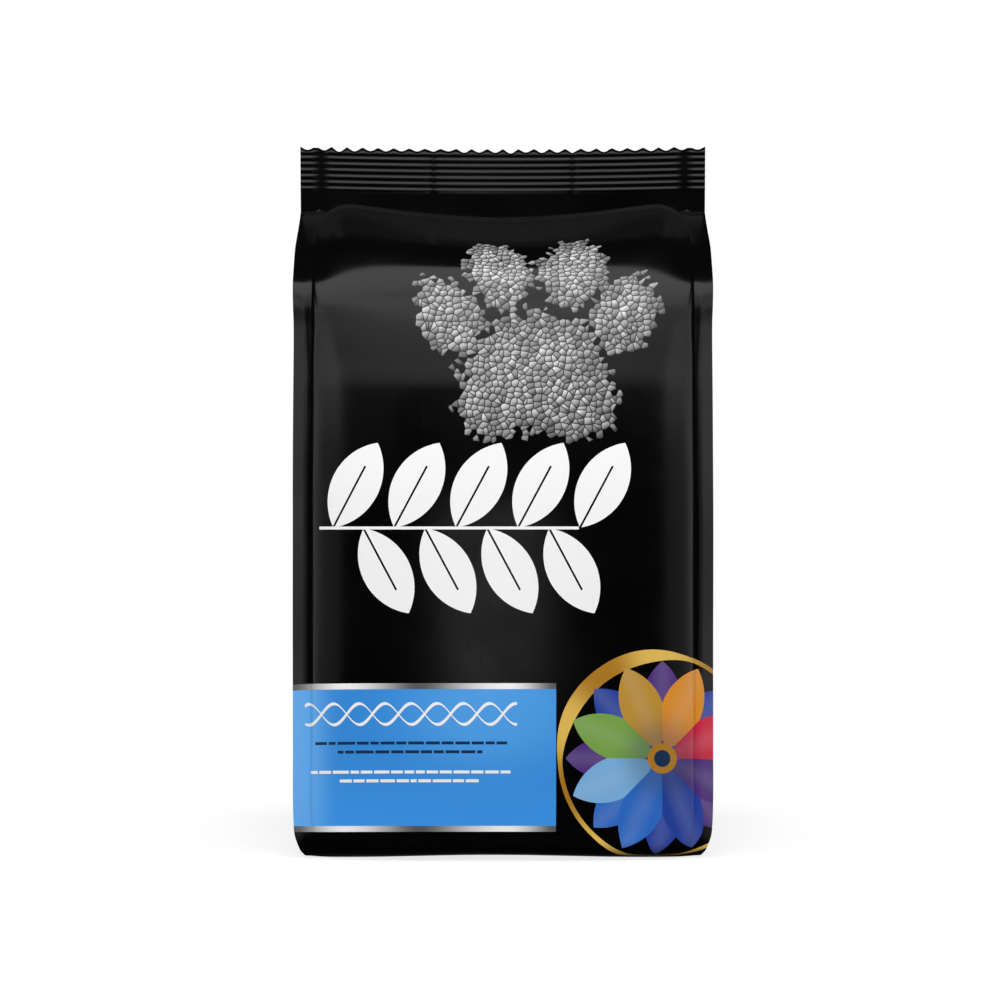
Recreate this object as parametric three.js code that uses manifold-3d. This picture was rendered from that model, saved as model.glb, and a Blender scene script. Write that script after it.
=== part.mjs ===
// A filled cat litter bag: a four-fin, side-gusset film pack standing on its flat folded base.
// Millimetres, +Z up. The origin is the middle of the base, and the front panel faces -Y.
import * as THREE from "three";
import { LoftGeometry } from "three/addons/geometries/LoftGeometry.js";
import { mergeVertices } from "three/addons/utils/BufferGeometryUtils.js";
import Module from "manifold-3d";

// Driving dimensions of the flat film
const FLAT_WIDTH = 230; // across the seal, from fin edge to fin edge
const BAG_HEIGHT = 393.2; // base to the tips of the zig-zag edge
const FIN_WIDTH = 10.8; // welded edge where a front or back panel meets a gusset
const FIN_THICKNESS = 0.9;
const SEAL_HEIGHT = 23.7; // crimped band across the top
const FLAT_BAND = 8.5; // film pressed flat between the seal and the ends of the crease below it
const CREASE_SAG = 7.8; // the crease hangs lower in the middle than at the fins
const PRESSED_HALF = 1.2; // half the thickness of the layers where they are pressed flat
const CROWN_POWER = 4; // the front and back panels are flat in the middle and round towards their fins

// Crimp ribs and zig-zag cut of the seal
const RIB_PITCH = 3.45;
const RIB_AMPLITUDE = 0.6;
const SEAL_THICKNESS = 1;
const TOOTH_COUNT = 26;
const TOOTH_DEPTH = 2;

// Standing shape. Each station is a level of the filled bag: its height z, its half width to the root of
// the fins, its half depth at the corners, the crown of the front and back panels, the swell of the side
// panels (negative where the gusset is tucked in), the width of the fins and their lean in degrees.
const PRESSED_HALF_WIDTH = FLAT_WIDTH / 2 - FIN_WIDTH;
const GUSSET_TUCK = 65; // depth of the folded gusset at the crease
const FIN_LEAN = 24;
const SEAL_FOOT = BAG_HEIGHT - SEAL_HEIGHT;
const CREASE_HEIGHT = SEAL_FOOT - FLAT_BAND;
const BASE = { z: 0, width: 97.1, depth: 58, crown: 0, swell: 0, fin: 9.7, lean: 6 };
const HEEL = { z: 4, width: 99.1, depth: 64.4, crown: 7.6, swell: 3, fin: 10.2, lean: 13 };
const BODY = { fin: FIN_WIDTH, lean: FIN_LEAN };
const SHOULDER_HEIGHT = 299;
const CREASE = { z: CREASE_HEIGHT, width: PRESSED_HALF_WIDTH, depth: PRESSED_HALF, crown: 0 };
const STATIONS = [
  BASE,
  HEEL,
  { ...BODY, z: 15, width: 102.5, depth: 66.2, crown: 9, swell: 6 },
  { ...BODY, z: 60, width: 102.9, depth: 67.2, crown: 11.8, swell: 8 },
  { ...BODY, z: 150, width: 103, depth: 67.5, crown: 12.8, swell: 8 },
  { ...BODY, z: 200, width: 103.1, depth: 67, crown: 13, swell: 7 },
  { ...BODY, z: 250, width: 103.2, depth: 63.2, crown: 13.2, swell: 3 },
  { ...BODY, z: 268, width: 103.2, depth: 61.8, crown: 12, swell: 0 },
  { ...BODY, z: 287, width: 103.2, depth: 60.7, crown: 9.8, swell: -4, lean: 23 },
  { ...BODY, z: SHOULDER_HEIGHT, width: 103.2, depth: 59.7, crown: 8.1, swell: -12, lean: 17 },
  { ...BODY, z: 310, width: 103.3, depth: 56.3, crown: 8.8, swell: -28, lean: 12 },
  { ...BODY, z: 322, width: 103.6, depth: 46.5, crown: 13, swell: -45, lean: 9 },
  { ...BODY, z: 335, width: 103.9, depth: 34.5, crown: 13, swell: -55, lean: 6 },
  { ...BODY, z: 349, width: 104.1, depth: 19, crown: 5.6, swell: -62, lean: 4 },
  { ...BODY, z: 357.5, width: 104.2, depth: 8, crown: 1.8, swell: -64, lean: 2 },
  { ...CREASE, swell: -GUSSET_TUCK, fin: FIN_WIDTH, lean: 0 },
];

// Facet counts
const ROWS_PER_STATION = 2;
const PANEL_STEPS = 20;
const PRESSED_ROWS = [0.1, 0.5, 1]; // shares of the height of the flat band
const SIDE_STEPS = 8;
const RIB_STEPS = 8;
const TOOTH_STEPS = 6;
const MERGE_DISTANCE = 1e-4;

const wasm = await Module();
wasm.setup();

// A closed geometry as a solid that can be joined and cut.
function solidFrom(geometry) {
  const bare = new THREE.BufferGeometry();
  bare.setAttribute("position", geometry.getAttribute("position"));
  bare.setIndex(geometry.getIndex());
  const merged = mergeVertices(bare, MERGE_DISTANCE);
  const vertProperties = merged.attributes.position.array;
  const triVerts = new Uint32Array(merged.index.array);
  return new wasm.Manifold(new wasm.Mesh({ numProp: 3, vertProperties, triVerts }));
}

function geometryFrom(solid) {
  const mesh = solid.getMesh();
  const geometry = new THREE.BufferGeometry();
  geometry.setAttribute("position", new THREE.BufferAttribute(mesh.vertProperties, 3));
  geometry.setIndex(new THREE.BufferAttribute(mesh.triVerts, 1));
  geometry.computeVertexNormals();
  return geometry;
}

// The station between two given ones, on a smooth curve through all of them.
function stationAt(place) {
  const station = {};
  for (const key of Object.keys(STATIONS[0])) {
    const points = STATIONS.map((entry, index) => new THREE.Vector2(index, entry[key]));
    station[key] = new THREE.SplineCurve(points).getPoint(place / (STATIONS.length - 1)).y;
  }
  return station;
}

// How far the level at height z hangs down at the point x of a panel.
function sagAt(z, x, halfWidth) {
  const toCrease = THREE.MathUtils.smoothstep(z, SHOULDER_HEIGHT, CREASE_HEIGHT);
  const toSeal = 1 - THREE.MathUtils.smoothstep(z, CREASE_HEIGHT, SEAL_FOOT);
  const inward = Math.min(Math.abs(x) / halfWidth, 1);
  return CREASE_SAG * toCrease * toSeal * (1 - inward ** 2);
}

// The four corners of one fin's section: its root and tip on the outer face, then on the inner face.
// side is -1 on the left and 1 on the right, and end is -1 at the front and 1 at the back.
function finCorners(station, side, end) {
  const lean = THREE.MathUtils.degToRad(station.lean);
  const reach = station.fin * Math.cos(lean);
  const back = station.fin * Math.sin(lean);
  const root = [side * station.width, end * station.depth];
  const tip = [side * (station.width + reach), end * (station.depth - back)];
  const tipBack = [tip[0], tip[1] - end * FIN_THICKNESS];
  const rootBack = [root[0], root[1] - end * FIN_THICKNESS];
  return { root, tip, tipBack, rootBack };
}

// A front (end -1) or back (end +1) panel between its two fins, left to right.
function panelPoints(station, end) {
  const points = [];
  for (let i = 1; i < PANEL_STEPS; i++) {
    const across = (2 * i) / PANEL_STEPS - 1;
    const crown = station.crown * (1 - across ** CROWN_POWER);
    points.push([across * station.width, end * (station.depth + crown)]);
  }
  return points;
}

// A gusset between its two fins, front to back: swollen out, or tucked in as a sharp fold.
function gussetPoints(station, side) {
  const points = [];
  for (let i = 1; i < SIDE_STEPS; i++) {
    const along = (2 * i) / SIDE_STEPS - 1;
    const shape = station.swell > 0 ? 1 - along ** 2 : 1 - Math.abs(along);
    const x = side * (station.width + station.swell * shape);
    points.push([x, along * (station.depth - FIN_THICKNESS)]);
  }
  return points;
}

// The whole section, anticlockwise from above, starting at the front left fin.
function section(station) {
  const frontLeft = finCorners(station, -1, -1);
  const frontRight = finCorners(station, 1, -1);
  const backRight = finCorners(station, 1, 1);
  const backLeft = finCorners(station, -1, 1);
  const outline = [
    frontLeft.tip,
    frontLeft.root,
    ...panelPoints(station, -1),
    frontRight.root,
    frontRight.tip,
    frontRight.tipBack,
    frontRight.rootBack,
    ...gussetPoints(station, 1),
    backRight.rootBack,
    backRight.tipBack,
    backRight.tip,
    backRight.root,
    ...panelPoints(station, 1).reverse(),
    backLeft.root,
    backLeft.tip,
    backLeft.tipBack,
    backLeft.rootBack,
    ...gussetPoints(station, -1).reverse(),
    frontLeft.rootBack,
    frontLeft.tipBack,
  ];
  return outline.map(
    ([x, y]) => new THREE.Vector3(x, y, station.z - sagAt(station.z, x, station.width)),
  );
}

// The filled body: gussets, panels and fins in one skin, pressed flat above the crease.
function bodyGeometry() {
  const sections = [];
  const lastPlace = STATIONS.length - 1;
  for (let row = 0; row <= lastPlace * ROWS_PER_STATION; row++) {
    sections.push(section(stationAt(row / ROWS_PER_STATION)));
  }
  const pressed = { ...STATIONS[lastPlace], swell: 0 };
  for (const rise of PRESSED_ROWS) {
    const z = THREE.MathUtils.lerp(CREASE_HEIGHT, SEAL_FOOT, rise);
    sections.push(section({ ...pressed, z }));
  }
  return new LoftGeometry(sections, { capStart: true, capEnd: true });
}

// The crimped sheet of the seal: its wavy section, drawn along the width.
function crimpGeometry() {
  const start = SEAL_FOOT - RIB_PITCH / 2;
  const steps = Math.ceil(((BAG_HEIGHT - start) / RIB_PITCH) * RIB_STEPS);
  const wave = [];
  for (let i = 0; i <= steps; i++) {
    const rise = (i / RIB_STEPS) * RIB_PITCH;
    wave.push([RIB_AMPLITUDE * Math.sin((2 * Math.PI * rise) / RIB_PITCH), start + rise]);
  }
  const half = SEAL_THICKNESS / 2;
  const front = wave.map(([y, z]) => new THREE.Vector2(y - half, z));
  const back = wave.map(([y, z]) => new THREE.Vector2(y + half, z)).reverse();
  const shape = new THREE.Shape([...front, ...back]);
  const geometry = new THREE.ExtrudeGeometry(shape, { depth: FLAT_WIDTH, bevelEnabled: false });
  geometry.translate(0, 0, -FLAT_WIDTH / 2);
  const alongY = new THREE.Vector3(0, 1, 0);
  const alongZ = new THREE.Vector3(0, 0, 1);
  const alongX = new THREE.Vector3(1, 0, 0);
  return geometry.applyMatrix4(new THREE.Matrix4().makeBasis(alongY, alongZ, alongX));
}

// The outline of the seal from the front, with round teeth and sharp notches along its top.
// The cut ends in the middle of a tooth on each side.
function toothedGeometry() {
  const half = FLAT_WIDTH / 2;
  const foot = SEAL_FOOT - RIB_PITCH;
  const count = TOOTH_COUNT * TOOTH_STEPS;
  const outline = [new THREE.Vector2(-half, foot), new THREE.Vector2(half, foot)];
  for (let i = count; i >= 0; i--) {
    const round = Math.abs(Math.cos((Math.PI * i) / TOOTH_STEPS));
    outline.push(
      new THREE.Vector2((i / count) * FLAT_WIDTH - half, BAG_HEIGHT - TOOTH_DEPTH * (1 - round)),
    );
  }
  const depth = 4 * (RIB_AMPLITUDE + SEAL_THICKNESS);
  const geometry = new THREE.ExtrudeGeometry(new THREE.Shape(outline), { depth, bevelEnabled: false });
  geometry.translate(0, 0, -depth / 2);
  return geometry.rotateX(Math.PI / 2);
}

const seal = solidFrom(crimpGeometry()).intersect(solidFrom(toothedGeometry()));
const bagSolid = solidFrom(bodyGeometry()).add(seal);

const film = new THREE.MeshStandardMaterial({ color: 0x0b0b0d, roughness: 0.32, metalness: 0 });
const bag = new THREE.Mesh(geometryFrom(bagSolid), film);
bag.name = "bag";

const part = new THREE.Group();
part.add(bag);

export default part;
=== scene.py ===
"""A filled cat litter bag: a side-gusset film pack with welded fins, a crimped seal and a folded base."""

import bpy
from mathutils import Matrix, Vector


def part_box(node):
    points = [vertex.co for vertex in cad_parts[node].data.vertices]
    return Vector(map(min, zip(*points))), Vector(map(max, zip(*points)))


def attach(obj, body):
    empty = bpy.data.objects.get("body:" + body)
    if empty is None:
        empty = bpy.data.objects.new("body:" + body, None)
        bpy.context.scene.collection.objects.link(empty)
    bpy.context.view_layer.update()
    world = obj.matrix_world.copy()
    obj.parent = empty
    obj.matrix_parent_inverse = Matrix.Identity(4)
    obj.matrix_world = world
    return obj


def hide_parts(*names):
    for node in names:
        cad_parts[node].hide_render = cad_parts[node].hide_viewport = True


bl_info = {
    "name": "Cat Litter Bag",
    "version": (1, 0, 0),
    "blender": (4, 5, 0),
    "location": "View3D > Sidebar > Litter Bag",
    "description": "Builds a filled side-gusset film bag with corner fins, a crimped seal and a plain print",
    "category": "Add Mesh",
}

import math
from bisect import bisect_right
from collections import namedtuple

import bmesh
import bpy
from bpy.props import FloatProperty, FloatVectorProperty, IntProperty, PointerProperty
from mathutils import Vector, noise

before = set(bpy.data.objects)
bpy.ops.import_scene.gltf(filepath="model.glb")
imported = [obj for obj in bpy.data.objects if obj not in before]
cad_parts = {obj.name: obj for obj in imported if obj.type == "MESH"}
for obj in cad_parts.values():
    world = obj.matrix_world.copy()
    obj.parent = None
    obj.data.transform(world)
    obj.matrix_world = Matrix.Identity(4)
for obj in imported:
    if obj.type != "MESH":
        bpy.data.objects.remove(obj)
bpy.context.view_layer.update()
BAG_LOW, BAG_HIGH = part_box("bag")

# Standing shape: each level of the filled bag, in metres and degrees. width is half the panel between the
# fin roots, depth half the depth at the corners, crown the rise of a panel's middle over its edges, swell how
# far a gusset stands out (negative where it is tucked in), fin the width of a fin and lean its backward tilt.
Level = namedtuple("Level", "height width depth crown swell fin lean")
FIN = 0.0108
LEVELS = (
    Level(0.0000, 0.0971, 0.0580, 0.0000, 0.000, 0.0097, 6.0),
    Level(0.0040, 0.0991, 0.0644, 0.0076, 0.003, 0.0102, 13.0),
    Level(0.0150, 0.1025, 0.0662, 0.0090, 0.006, FIN, 24.0),
    Level(0.0600, 0.1029, 0.0672, 0.0118, 0.008, FIN, 24.0),
    Level(0.1500, 0.1030, 0.0675, 0.0128, 0.008, FIN, 24.0),
    Level(0.2000, 0.1031, 0.0670, 0.0130, 0.007, FIN, 24.0),
    Level(0.2500, 0.1032, 0.0632, 0.0132, 0.003, FIN, 24.0),
    Level(0.2680, 0.1032, 0.0618, 0.0120, 0.000, FIN, 24.0),
    Level(0.2870, 0.1032, 0.0607, 0.0098, -0.004, FIN, 23.0),
    Level(0.2990, 0.1032, 0.0597, 0.0081, -0.012, FIN, 17.0),
    Level(0.3100, 0.1033, 0.0563, 0.0088, -0.028, FIN, 12.0),
    Level(0.3220, 0.1036, 0.0465, 0.0130, -0.045, FIN, 9.0),
    Level(0.3350, 0.1039, 0.0345, 0.0130, -0.055, FIN, 6.0),
    Level(0.3490, 0.1041, 0.0155, 0.0056, -0.062, FIN, 4.0),
    Level(0.3575, 0.1042, 0.0042, 0.0007, -0.064, FIN, 2.0),
    Level(0.3610, 0.1042, 0.0006, 0.0000, -0.065, FIN, 0.0),
)
ROWS_BETWEEN = (4, 5, 12, 20, 12, 14, 8, 9, 8, 8, 8, 8, 9, 8, 8)
SHOULDER, CREASE = LEVELS[9], LEVELS[-1]
BAND_ROWS = 14
ROWS_PER_RIB = 8
COLUMNS_PER_TOOTH = 6
GUSSET_COLUMNS = 26
CROWN_POWER = 4
FILM_ANCHOR = 0.06  # the level where the print's height equals the height above the base

# Fine folds of the film
FIN_THICKNESS = 0.0005
FIN_EDGE_POWER = 4  # how near to its edge a fin keeps that thickness
LINE_HALF = 0.0005  # half the width of a fold line
WELD = 2e-6  # points closer than this are joined
# The crease under the seal: how far from the middle, and how far below its highest point
CREASE_LINE = (
    (0.000, 0.0078), (0.018, 0.0072), (0.036, 0.0059), (0.053, 0.0043), (0.067, 0.0024), (0.078, 0.0010),
    (0.085, 0.0002), (0.090, 0.0002), (0.094, 0.0012), (0.098, 0.0031), (0.102, 0.0043), (0.116, 0.0046),
)
# Small puckers at its ends: how far from the middle, height and half width
PUCKERS = ((0.1002, -0.0009, 0.0014), (0.1034, 0.0012, 0.0017))
PUCKER_REACH = 0.005
# How far the seal's middle hangs, and how far the flat band and the seal come forward
SEAL_SAG, BAND_FORWARD, SEAL_FORWARD = 0.0014, 0.0009, 0.0011
TOOTH_UNEVEN, TOOTH_CHANGE = 0.5, 0.7  # by what share the teeth differ, and how much from one to the next
# The fold between a panel and its fin: its depth, and how far it rounds off over the fin; and a deeper hollow
# in it where the shoulder turns: depth, reach over the panel and the fin, middle height and half height
ROOT_GROOVE, FIN_CURL = 0.0005, 0.002
HOLLOW_DEPTH, HOLLOW_REACH, HOLLOW_LIP, HOLLOW_LEVEL, HOLLOW_HALF = 0.0009, 0.003, 0.0012, 0.2905, 0.014
FOLD_LOW, FOLD_HIGH = 0.004, 0.02  # it grows in between these heights
# A gusset's fold pressed into the seal: its step, its groove and the gap it leaves in the ribs
FOLD_STEP, FOLD_GROOVE, FOLD_BREAK = 0.00012, 0.0003, 0.0008
# Half the seal's thickness, and how far from a fin's root the ribs begin, and are full on panel and fin
SEAL_HALF, RIB_GAP, RIB_FADE_PANEL, RIB_FADE_FIN = 0.00045, 0.0014, 0.0085, 0.0048
# The fold in a gusset's middle: its depth, and its half width as a share of half the gusset
CENTRE_CREASE, CENTRE_CREASE_SHARE = 0.0016, 0.05
FIN_WAVE_DEGREES, FIN_WAVE_LENGTH = 2.5, 0.07
DENT_DEPTH, DENT_LENGTH, DENT_STRETCH, GUSSET_DENTS = 0.0003, 0.055, 0.7, 2
# Places in the noise, so that the waves of the edges, panels and fins differ
TOOTH_SEED, DENT_SEED, GUSSET_SEED, FIN_SIDE_SEED, FIN_END_SEED = 5.3, 3.1, 5, 4.3, 7.9
LOOSE_LOW, LOOSE_HIGH = 0.01, 0.05  # the film is free to wave and dent above these heights
# The folded edge round the base: height, length and place of its wave, and where that ends above; the rise of
# its corners, between two distances from the middle; and the flaps under it: thickness, overlap and margin
HEEL_LIFT, HEEL_LIFT_LENGTH, HEEL_LIFT_START, HEEL_TOP = 0.0011, 0.159, -0.0055, 0.018
CORNER_LIFT, CORNER_LIFT_START, CORNER_LIFT_END = 0.0004, 0.092, 0.106
FLAP_STEP, FLAP_OVERLAP, FLAP_MARGIN = 0.0005, 0.012, 0.002
SHARP_ANGLE = math.radians(50)

# Places of the printed fields on the film, in metres: across from the middle, and up from the base. The print
# is bowed a little towards the level BOW_LEVEL, so that its lines look straight over the swollen panel.
BOW_LEVEL, BOW_SHARE, BOW_HALF, BOW_FOOT, BOW_TOP = 0.1925, 0.0165, 0.1042, 0.55, 0.09
# The lower panel with its two bands, and where its blue is painted paler beside the fin, at the foot and in
# the middle
PANEL_LEFT, PANEL_RIGHT, PANEL_LOW, PANEL_HIGH, SILVER_BAND = -0.115, 0.0284, 0.0148, 0.0942, 0.0032
# painted highlight over the fin and beside it, fading out between the first two places; painted light, a
# paler blue, from the foot up to the third height
EDGE_HIGHLIGHT_START, EDGE_HIGHLIGHT_END, FOOT_LIGHT_TOP = -0.107, -0.088, 0.06
# a pale oval in the middle: partly paler ink and partly a painted highlight
PALE_HIGHLIGHT_MIDDLE, PALE_HIGHLIGHT_RADII, PALE_HIGHLIGHT_FULL = (-0.007, 0.0785, 0), (0.070, 0.048, 1), -0.8
METAL_STOPS = (0.0, 0.2, 0.485, 0.82, 1.0)  # where the bands are steel and silver in turn
# The vine: its stem's height, ends and half thickness, then where the leaves start on each side and how many
STEM_HEIGHT, STEM_LEFT, STEM_RIGHT, STEM_HALF = 0.1775, -0.0990, 0.0405, 0.0008
UPPER_LEAVES, LOWER_LEAVES = (-0.0957, 5), (-0.0791, 4)
LEAF_PITCH, LEAF_RISE, LEAF_TILT = 0.0331, 0.0230, math.radians(28)
LEAF_HALF_LENGTH, LEAF_HALF_WIDTH, LEAF_RIB = 0.0258, 0.0130, 0.00055
LEAF_RIB_END = LEAF_HALF_LENGTH * 0.45
BRAID_HEIGHT, BRAID_RISE, BRAID_LENGTH, BRAID_THICK = 0.0777, 0.0056, 0.028, 0.0011
BRAID_THIN = BRAID_THICK * 0.4
LINES_LEFT, LINES_RIGHT, LINE_THICK = -0.1075, 0.0075, 0.0008
LINES_MIDDLE = (LINES_LEFT + LINES_RIGHT) / 2
DARK_LINES = ((0.0622, 0.0522), (0.0575, 0.0390))  # height and half length
WHITE_LINES = ((0.0468, 0.0540), (0.0421, 0.0378))
DASHES_PER_METRE, DASH_GAP, DASH_SHIFT = 130, 0.06, 97
ROSETTE_CENTRE, ROSETTE_RING = (0.0857, 0.0541), 0.0552
RING_THIN, RING_THICK, RING_TURN, RING_SWELL, RING_GLEAMS = 0.0012, 0.0042, math.radians(128), 0.55, 5.0
PETALS, PETAL_MIDDLE, PETAL_HALF_LENGTH, PETAL_HALF_WIDTH = 8, 0.0290, 0.0232, 0.0114
PETAL_TURN = 2 * math.pi / PETALS
PETAL_GLEAM, PETAL_GLEAM_REACH, PETAL_SHADE = 0.05, PETAL_HALF_WIDTH * 0.7, 0.45
HUB, HUB_EYE = 0.0080, 0.0045
# Ovals of the paw print: middle across and up, half width, half height, turn in degrees
PAW_PADS = ((0.018, 0.262, 0.034, 0.029, 0),)
PAW_PADS += ((-0.002, 0.247, 0.021, 0.018, 20), (0.038, 0.247, 0.021, 0.018, -20))
PAW_TOES = ((-0.030, 0.293, 0.0145, 0.021, 28), (-0.002, 0.323, 0.0155, 0.0235, 10))
PAW_TOES += ((0.038, 0.323, 0.0155, 0.0235, -10), (0.066, 0.293, 0.0145, 0.021, -28))
GRANULES_PER_METRE = 300
GRANULE_LIGHT = (-0.405, 0.72, 0)  # a grain is printed lighter towards here
GRANULE_LIT, GRANULE_GAP = (-0.1, 1.0), 0.14
GRANULE_DARK, GRANULE_DULL, GRANULE_FAR = 0.14, 0.4, 0.25  # shades: dark side of a grain, dull and far grains
PAW_THINS, PAW_DIMS = (-0.04, 0.42), (-0.6, 0.8)  # from the rim of an oval, in shares of its radii

# Finish of the film: roughness and its wear, gloss, bump, then scale and detail of each noise in it
FILM_SHINE, FILM_UNEVEN, FILM_WORN, FILM_GLOSS = 0.19, 0.03, 0.05, 0.18
FILM_WRINKLE, FILM_GRAIN, BUMP_STRENGTH, BUMP_DISTANCE = 0.35, 0.05, 0.06, 0.002
BROAD_NOISE, FINE_NOISE, SCUFF_NOISE = (26, 3), (190, 4), (420, 2)
BROAD_RANGE, SCUFF_RANGE, SCUFF_STRETCH = (0.3, 0.7), (0.60, 0.78), (1.0, 1.0, 0.25)

# Studio: the camera stands where the photograph was taken from
CAMERA_PLACE = (-0.0016, -1.1, 0.1925)
CAMERA_LENS, CAMERA_SENSOR = 69.55, 36.0
FLOOR_HALF, FLOOR_CLEAR, FLOOR_GONE, FLOOR_THIN = 0.4, 0.01, 0.1, 0.7
FLOOR_GREY, FLOOR_GLOW = 0.8, 0.26
FOOTPRINT = (0.1, 0.055, 0)
# Softboxes: azimuth from the camera's side, elevation, distance, width, height, brightness
SOFTBOXES = {
    "left_softbox": (-60, 2, 1.5, 0.34, 1.1, 2.5),
    "right_softbox": (60, 2, 1.5, 0.34, 1.1, 2.5),
    "left_corner": (-46.7, 17, 1.5, 0.355, 0.26, 2.5),
    "right_corner": (46.7, 17, 1.5, 0.355, 0.26, 2.5),
    "left_fill": (-45.8, -4, 1.5, 0.41, 0.85, 0.6),
    "right_fill": (45.8, -4, 1.5, 0.41, 0.85, 0.6),
    "brow_softbox": (0, 24.8, 1.6, 2.6, 0.29, 1.85),
    "top_softbox": (0, 51, 1.7, 2.9, 1.3, 3.85),
    "front_softbox": (-1.1, -5.6, 1.25, 0.14, 0.31, 2.0),
}
WALL_SIDES, WALL_TOP = (30, 70), (3.6, 20.4)  # the white wall behind the bag fades out between these degrees
ROOM_GREY = 0.02


# Properties a user would change

class LitterBagSizes(bpy.types.PropertyGroup):
    """Sizes of the film."""

    flat_width: FloatProperty(
        name="Flat width", description="Across the seal, from fin edge to fin edge",
        default=BAG_HIGH[0] - BAG_LOW[0], unit="LENGTH")
    bag_height: FloatProperty(
        name="Height", description="From the base to the tips of the zig-zag edge",
        default=BAG_HIGH[2], unit="LENGTH")
    fin_width: FloatProperty(
        name="Fin width", description="Welded edge where a panel meets a gusset", default=FIN, unit="LENGTH")
    seal_height: FloatProperty(
        name="Seal height", description="Crimped band across the top", default=0.0237, unit="LENGTH")
    rib_pitch: FloatProperty(
        name="Rib pitch", description="From one crimp rib to the next", default=0.00344, unit="LENGTH")
    rib_depth: FloatProperty(
        name="Rib depth", description="Half the height of a crimp rib", default=0.00026, unit="LENGTH")
    tooth_count: IntProperty(
        name="Teeth", description="Teeth of the zig-zag cut", default=26, min=2)
    tooth_depth: FloatProperty(
        name="Tooth depth", description="From the tip of a tooth to the notch", default=0.002, unit="LENGTH")
    crease_sag: FloatProperty(
        name="Crease sag", description="How far the crease under the seal hangs in the middle",
        default=0.0078, unit="LENGTH")
    gusset_half: FloatProperty(
        name="Half gusset", description="Film from a fin's root to the gusset's middle fold",
        default=0.0649, unit="LENGTH")
    fill: FloatProperty(
        name="Fill", description="How tightly the bag is filled", default=0.9, min=0, max=1, subtype="FACTOR")


def ink(name, description, red, green, blue):
    """A colour property."""
    return FloatVectorProperty(
        name=name, description=description, default=(red, green, blue), min=0, max=1, subtype="COLOR")


class LitterBagInks(bpy.types.PropertyGroup):
    """Colours of the film and its print, and of the painted light in the lower panel's blue."""

    film: ink("Film", "The film where nothing is printed", 0.0010, 0.0010, 0.0012)
    panel: ink("Panel", "The lower panel", 0.042, 0.268, 0.720)
    # partly paler ink and partly a painted highlight
    panel_pale_and_highlight: ink("Panel middle", "The pale middle of the lower panel", 0.078, 0.345, 0.805)
    # painted light: a paler blue at the foot
    panel_foot_painted_light: ink("Panel foot", "The lower panel at its foot", 0.051, 0.312, 0.830)
    # painted highlight: a paler blue over the fin and beside it
    panel_edge_highlight: ink("Panel edge", "The lower panel beside the fin", 0.122, 0.418, 0.900)
    white: ink("White", "Vine and light lines", 0.89, 0.89, 0.89)
    dark: ink("Dark lines", "Dark lines on the panel", 0.012, 0.03, 0.08)
    silver: ink("Silver", "Light part of the panel's bands", 0.94, 0.93, 0.92)
    steel: ink("Steel", "Dark part of the panel's bands", 0.10, 0.10, 0.102)
    gold: ink("Gold", "Ring and middle of the rosette", 0.40, 0.19, 0.020)
    gold_pale: ink("Pale gold", "Bright part of the ring", 0.74, 0.48, 0.100)
    granule: ink("Granule", "Grains of the paw print", 0.74, 0.74, 0.75)


PETAL_INKS = (
    (0.60, 0.020, 0.055), (0.70, 0.270, 0.025), (0.50, 0.270, 0.040), (0.19, 0.360, 0.070),
    (0.20, 0.440, 0.740), (0.03, 0.150, 0.560), (0.02, 0.055, 0.330), (0.08, 0.030, 0.200),
)
UNDER_PETAL_INKS = PETAL_INKS[5:] + PETAL_INKS[6:] + PETAL_INKS[5:]


# The film's shape

def smoothstep(value, low, high):
    """0 below low, 1 above high and a smooth rise between."""
    share = min(max((value - low) / (high - low), 0.0), 1.0)
    return share * share * (3 - 2 * share)


def bell(value, half):
    """1 at 0 and falling away to both sides."""
    return math.exp(-((value / half) ** 2))


def root_fold(off, height):
    """How deep the fold between a panel and its fin is, at a place inside (negative) or outside it."""
    hollow = HOLLOW_DEPTH * bell(height - HOLLOW_LEVEL, HOLLOW_HALF)
    if off > 0:
        return ROOT_GROOVE * max(1 - off / FIN_CURL, 0) ** 2 + hollow * max(1 - off / HOLLOW_LIP, 0)
    return ROOT_GROOVE * max(1 + off / LINE_HALF, 0) + hollow * max(1 + off / HOLLOW_REACH, 0) ** 2


def curve(places, values, place):
    """The value at a place, on a smooth curve through the values given at rising places."""
    last = len(places) - 1
    index = min(max(bisect_right(places, place) - 1, 0), last - 1)
    length = places[index + 1] - places[index]
    share = min(max((place - places[index]) / length, 0), 1)
    slopes = []
    for spot in (index, index + 1):
        low, high = max(spot - 1, 0), min(spot + 1, last)
        slopes.append((values[high] - values[low]) / (places[high] - places[low]) * length)
    start, end = values[index], values[index + 1]
    bend = (2 * start - 2 * end + slopes[0] + slopes[1]) * share ** 3
    turn = (3 * end - 3 * start - 2 * slopes[0] - slopes[1]) * share ** 2
    return bend + turn + slopes[0] * share + start


def level_at(height):
    """The level at any height of the filled bag."""
    heights, *columns = zip(*LEVELS)
    return Level(height, *(curve(heights, column, height) for column in columns))


def film_rows(sizes):
    """Every level of the film's mesh from the base to the cut edge."""
    rows = []
    for start, end, steps in zip(LEVELS, LEVELS[1:], ROWS_BETWEEN):
        rows += [level_at(start.height + (end.height - start.height) * step / steps) for step in range(steps)]
    rows.append(CREASE)
    foot = sizes.bag_height - sizes.seal_height
    for step in range(1, BAND_ROWS + 1):
        rows.append(CREASE._replace(height=CREASE.height + (foot - CREASE.height) * step / BAND_ROWS))
    count = math.ceil(sizes.seal_height / sizes.rib_pitch * ROWS_PER_RIB)
    for step in range(1, count + 1):
        rows.append(CREASE._replace(height=foot + sizes.seal_height * step / count))
    return rows


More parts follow.
